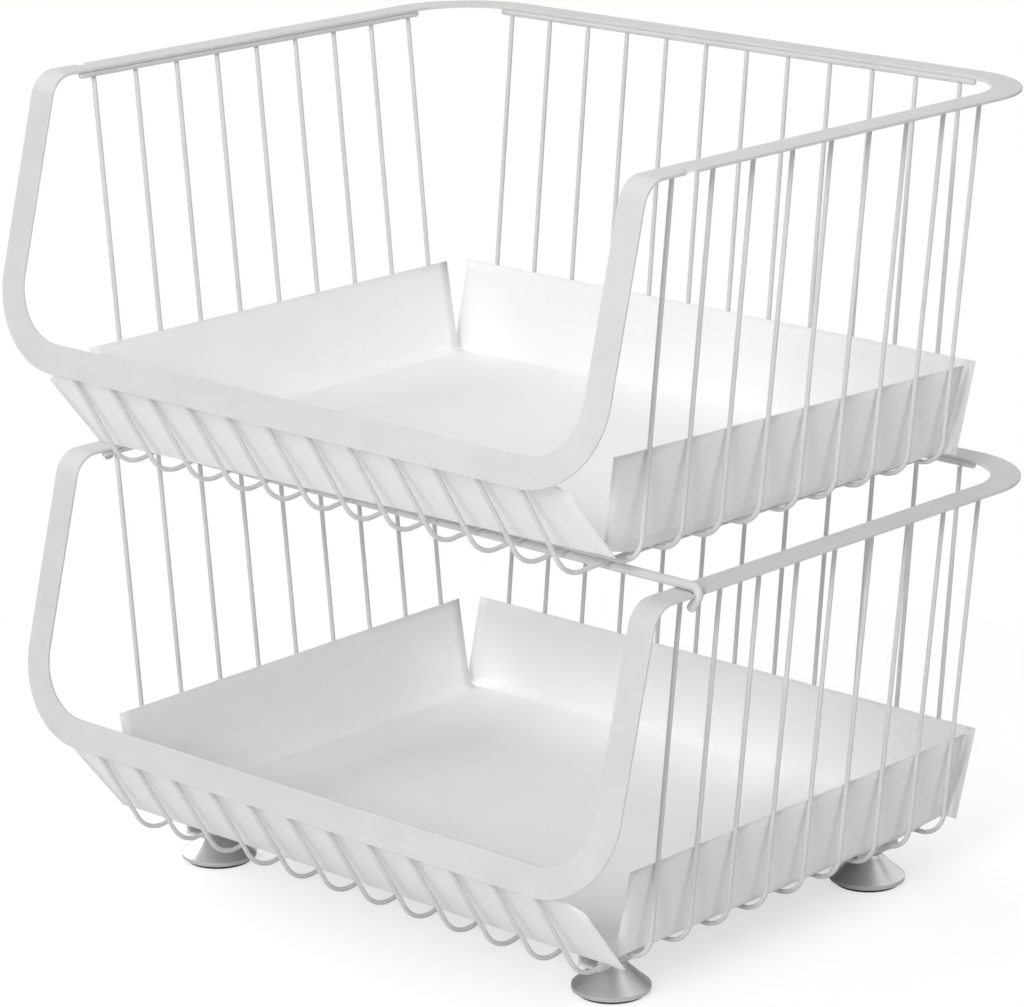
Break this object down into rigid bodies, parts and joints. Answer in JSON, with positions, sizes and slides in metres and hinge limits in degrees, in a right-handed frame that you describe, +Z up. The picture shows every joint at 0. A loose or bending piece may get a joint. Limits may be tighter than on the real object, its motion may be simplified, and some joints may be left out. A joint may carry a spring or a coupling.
{
  "type": "double basket organizer",
  "caption": "Open organizer of coated steel wire: two stacked baskets with low front lips and folded liners, on screwed bell-shaped feet.",
  "frame": {"origin": "on the floor under the middle of the box around the object", "axes": "+Z up, -Y towards the front with the low lips, +X to the right seen from the front"},
  "size_m": [0.3732, 0.3247, 0.3801],
  "materials": {
    "white_coated_steel": "white powder coat, satin",
    "white_sheet": "white sheet, matt",
    "satin_nickel": "satin silver metal",
    "dark_rubber": "dark matt rubber"
  },
  "bodies": {
    "lower_basket": {"lower_rim": "white_coated_steel", "lower_cross_wire_01": "white_coated_steel", "lower_cross_wire_02": "white_coated_steel", "lower_cross_wire_03": "white_coated_steel", "lower_cross_wire_04": "white_coated_steel", "lower_cross_wire_05": "white_coated_steel", "lower_cross_wire_06": "white_coated_steel", "lower_cross_wire_07": "white_coated_steel", "lower_cross_wire_08": "white_coated_steel", "lower_cross_wire_09": "white_coated_steel", "lower_long_wire_01": "white_coated_steel", "lower_long_wire_02": "white_coated_steel", "lower_long_wire_03": "white_coated_steel", "lower_long_wire_04": "white_coated_steel", "lower_long_wire_05": "white_coated_steel", "lower_long_wire_06": "white_coated_steel", "lower_long_wire_07": "white_coated_steel", "lower_long_wire_08": "white_coated_steel", "lower_long_wire_09": "white_coated_steel", "lower_long_wire_10": "white_coated_steel", "lower_long_wire_11": "white_coated_steel", "lower_long_wire_12": "white_coated_steel", "front_left_channel": "white_coated_steel", "front_right_channel": "white_coated_steel", "back_left_channel": "white_coated_steel", "back_right_channel": "white_coated_steel"},
    "upper_basket": {"upper_rim": "white_coated_steel", "upper_cross_wire_01": "white_coated_steel", "upper_cross_wire_02": "white_coated_steel", "upper_cross_wire_03": "white_coated_steel", "upper_cross_wire_04": "white_coated_steel", "upper_cross_wire_05": "white_coated_steel", "upper_cross_wire_06": "white_coated_steel", "upper_cross_wire_07": "white_coated_steel", "upper_cross_wire_08": "white_coated_steel", "upper_cross_wire_09": "white_coated_steel", "upper_long_wire_01": "white_coated_steel", "upper_long_wire_02": "white_coated_steel", "upper_long_wire_03": "white_coated_steel", "upper_long_wire_04": "white_coated_steel", "upper_long_wire_05": "white_coated_steel", "upper_long_wire_06": "white_coated_steel", "upper_long_wire_07": "white_coated_steel", "upper_long_wire_08": "white_coated_steel", "upper_long_wire_09": "white_coated_steel", "upper_long_wire_10": "white_coated_steel", "upper_long_wire_11": "white_coated_steel", "upper_long_wire_12": "white_coated_steel", "upper_crossbar": "white_coated_steel", "upper_rear_support": "white_coated_steel"},
    "lower_liner": {"lower_liner": "white_sheet"},
    "upper_liner": {"upper_liner": "white_sheet"},
    "front_left_pad": {"front_left_pad": "dark_rubber"},
    "front_left_foot": {"front_left_foot": "satin_nickel"},
    "front_right_pad": {"front_right_pad": "dark_rubber"},
    "front_right_foot": {"front_right_foot": "satin_nickel"},
    "back_left_pad": {"back_left_pad": "dark_rubber"},
    "back_left_foot": {"back_left_foot": "satin_nickel"},
    "back_right_pad": {"back_right_pad": "dark_rubber"},
    "back_right_foot": {"back_right_foot": "satin_nickel"}
  },
  "joints": [
    {"name": "upper_basket_tilt", "type": "hinge", "parent": "lower_basket", "child": "upper_basket", "pos_m": [0, -0.095, 0.2015], "axis": [1, 0, 0], "range_deg": [0, 12]},
    {"name": "upper_liner_lift", "type": "slide", "parent": "upper_basket", "child": "upper_liner", "axis": [0, 0, 1], "range_m": [0, 0.1]},
    {"name": "lower_liner_lift", "type": "slide", "parent": "lower_basket", "child": "lower_liner", "axis": [0, 0, 1], "range_m": [0, 0.1]},
    {"name": "front_left_foot_height", "type": "slide", "parent": "lower_basket", "child": "front_left_pad", "axis": [0, 0, -1], "range_m": [0, 0.00401]},
    {"name": "front_left_foot_spin", "type": "hinge", "parent": "front_left_pad", "child": "front_left_foot", "pos_m": [-0.125, -0.0824, 0.0146], "axis": [0, 0, -1], "range_deg": [0, 1440]},
    {"name": "front_right_foot_height", "type": "slide", "parent": "lower_basket", "child": "front_right_pad", "axis": [0, 0, -1], "range_m": [0, 0.00401]},
    {"name": "front_right_foot_spin", "type": "hinge", "parent": "front_right_pad", "child": "front_right_foot", "pos_m": [0.125, -0.0824, 0.0146], "axis": [0, 0, -1], "range_deg": [0, 1440]},
    {"name": "back_left_foot_height", "type": "slide", "parent": "lower_basket", "child": "back_left_pad", "axis": [0, 0, -1], "range_m": [0, 0.00401]},
    {"name": "back_left_foot_spin", "type": "hinge", "parent": "back_left_pad", "child": "back_left_foot", "pos_m": [-0.125, 0.0996, 0.0146], "axis": [0, 0, -1], "range_deg": [0, 1440]},
    {"name": "back_right_foot_height", "type": "slide", "parent": "lower_basket", "child": "back_right_pad", "axis": [0, 0, -1], "range_m": [0, 0.00401]},
    {"name": "back_right_foot_spin", "type": "hinge", "parent": "back_right_pad", "child": "back_right_foot", "pos_m": [0.125, 0.0996, 0.0146], "axis": [0, 0, -1], "range_deg": [0, 1440]}
  ],
  "couplings": [
    {"joint": "front_left_foot_height", "follows": "front_left_foot_spin", "m_per_rad": 0.00015915},
    {"joint": "front_right_foot_height", "follows": "front_right_foot_spin", "m_per_rad": 0.00015915},
    {"joint": "back_left_foot_height", "follows": "back_left_foot_spin", "m_per_rad": 0.00015915},
    {"joint": "back_right_foot_height", "follows": "back_right_foot_spin", "m_per_rad": 0.00015915}
  ]
}
